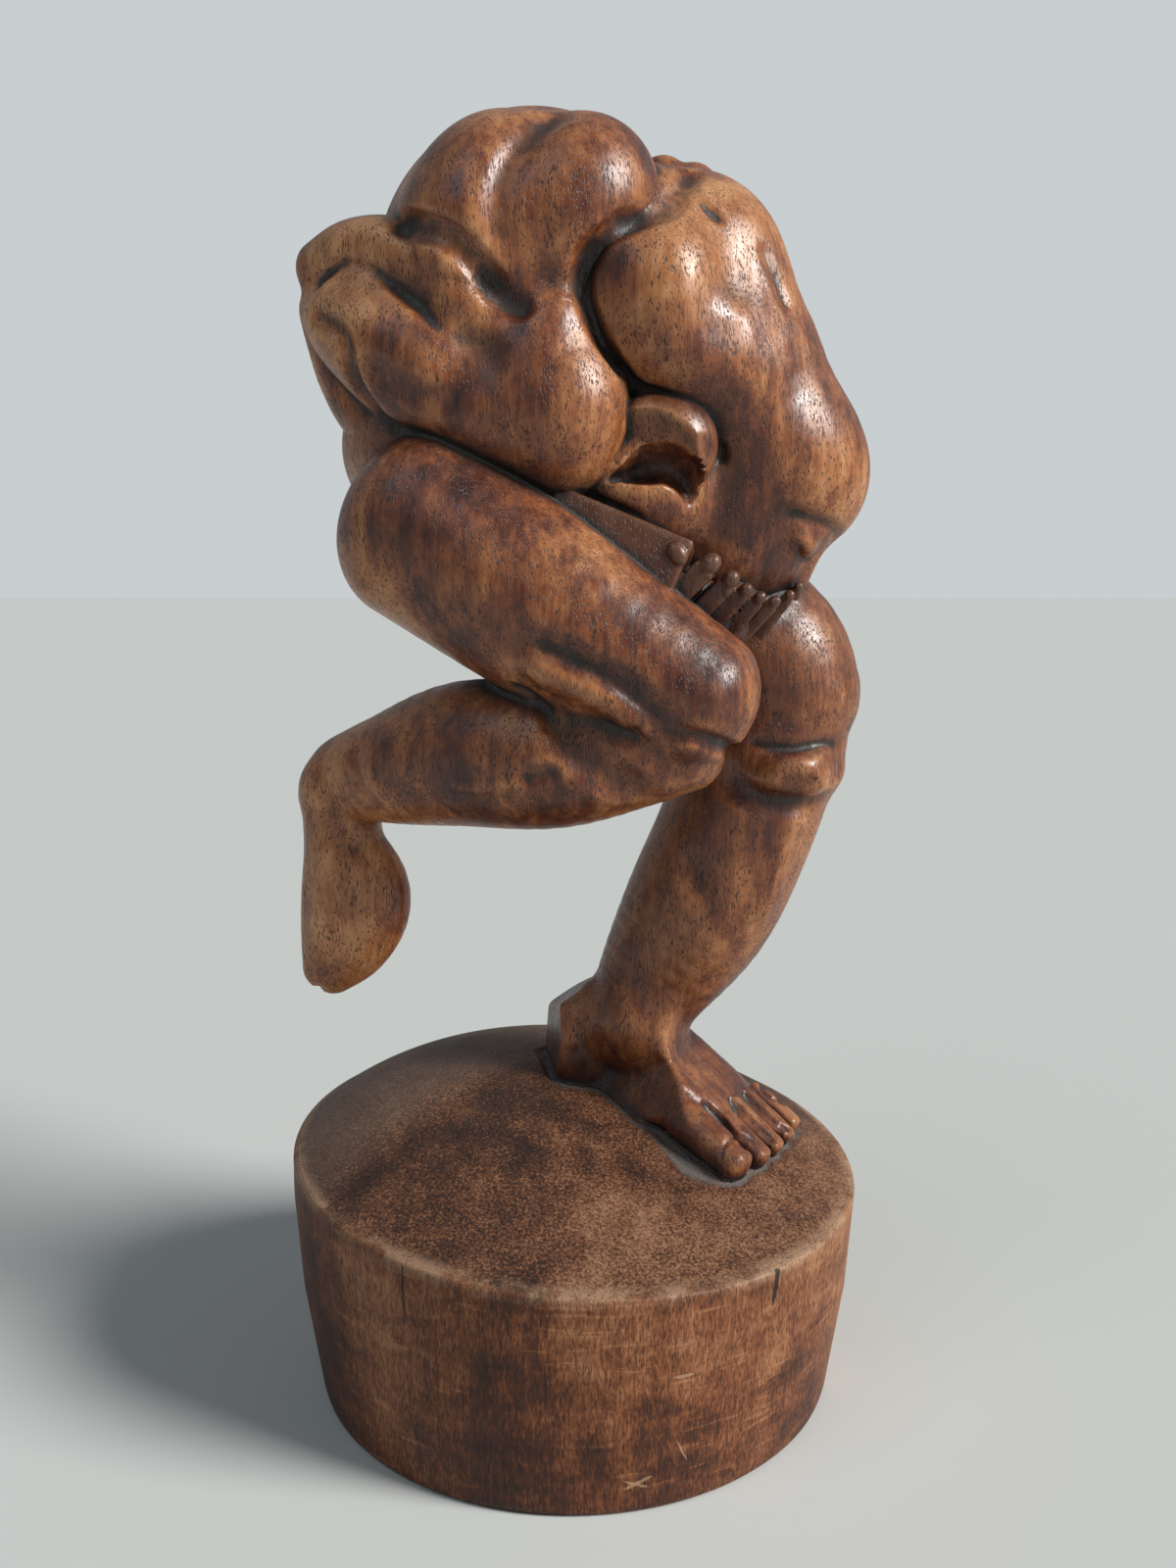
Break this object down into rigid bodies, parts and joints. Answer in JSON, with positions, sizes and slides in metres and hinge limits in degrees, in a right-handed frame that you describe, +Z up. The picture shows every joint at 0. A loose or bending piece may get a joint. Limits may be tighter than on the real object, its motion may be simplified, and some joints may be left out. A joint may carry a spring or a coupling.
{
  "type": "carved figure",
  "caption": "Carved wooden figure of a crouching bald yogi on one leg, face hidden in both hands, one knee drawn up, standing on the round log it is cut from.",
  "frame": {"origin": "centre of the flat underside of the log, on the log's axis", "axes": "+Z up along the log; +X to the figure's front, where both knees and the bowed head point; +Y to its left, the side of the standing leg"},
  "size_m": [0.184, 0.184, 0.4],
  "materials": {
    "figure_wood": "oiled and rubbed hardwood, warm brown with darker patches, satin, worn lighter on the high places, grey dust in the cuts",
    "log_wood": "the same wood left drier and duller, end grain mottled dark on top, scratched and cracked at the side"
  },
  "bodies": {
    "root": {"base_block": "log_wood", "standing_foot": "figure_wood", "standing_shin": "figure_wood", "raised_thigh": "figure_wood", "raised_shin": "figure_wood", "raised_foot": "figure_wood", "right_upper_arm": "figure_wood", "left_upper_arm": "figure_wood", "right_forearm": "figure_wood", "left_forearm": "figure_wood", "right_hand": "figure_wood", "left_hand": "figure_wood", "standing_thigh": "figure_wood", "head": "figure_wood", "right_ear": "figure_wood", "left_ear": "figure_wood", "neck": "figure_wood", "right_blade_lobe": "figure_wood", "left_blade_lobe": "figure_wood", "right_flank_lobe": "figure_wood", "left_flank_lobe": "figure_wood", "hips": "figure_wood", "back_core": "figure_wood"}
  },
  "joints": []
}
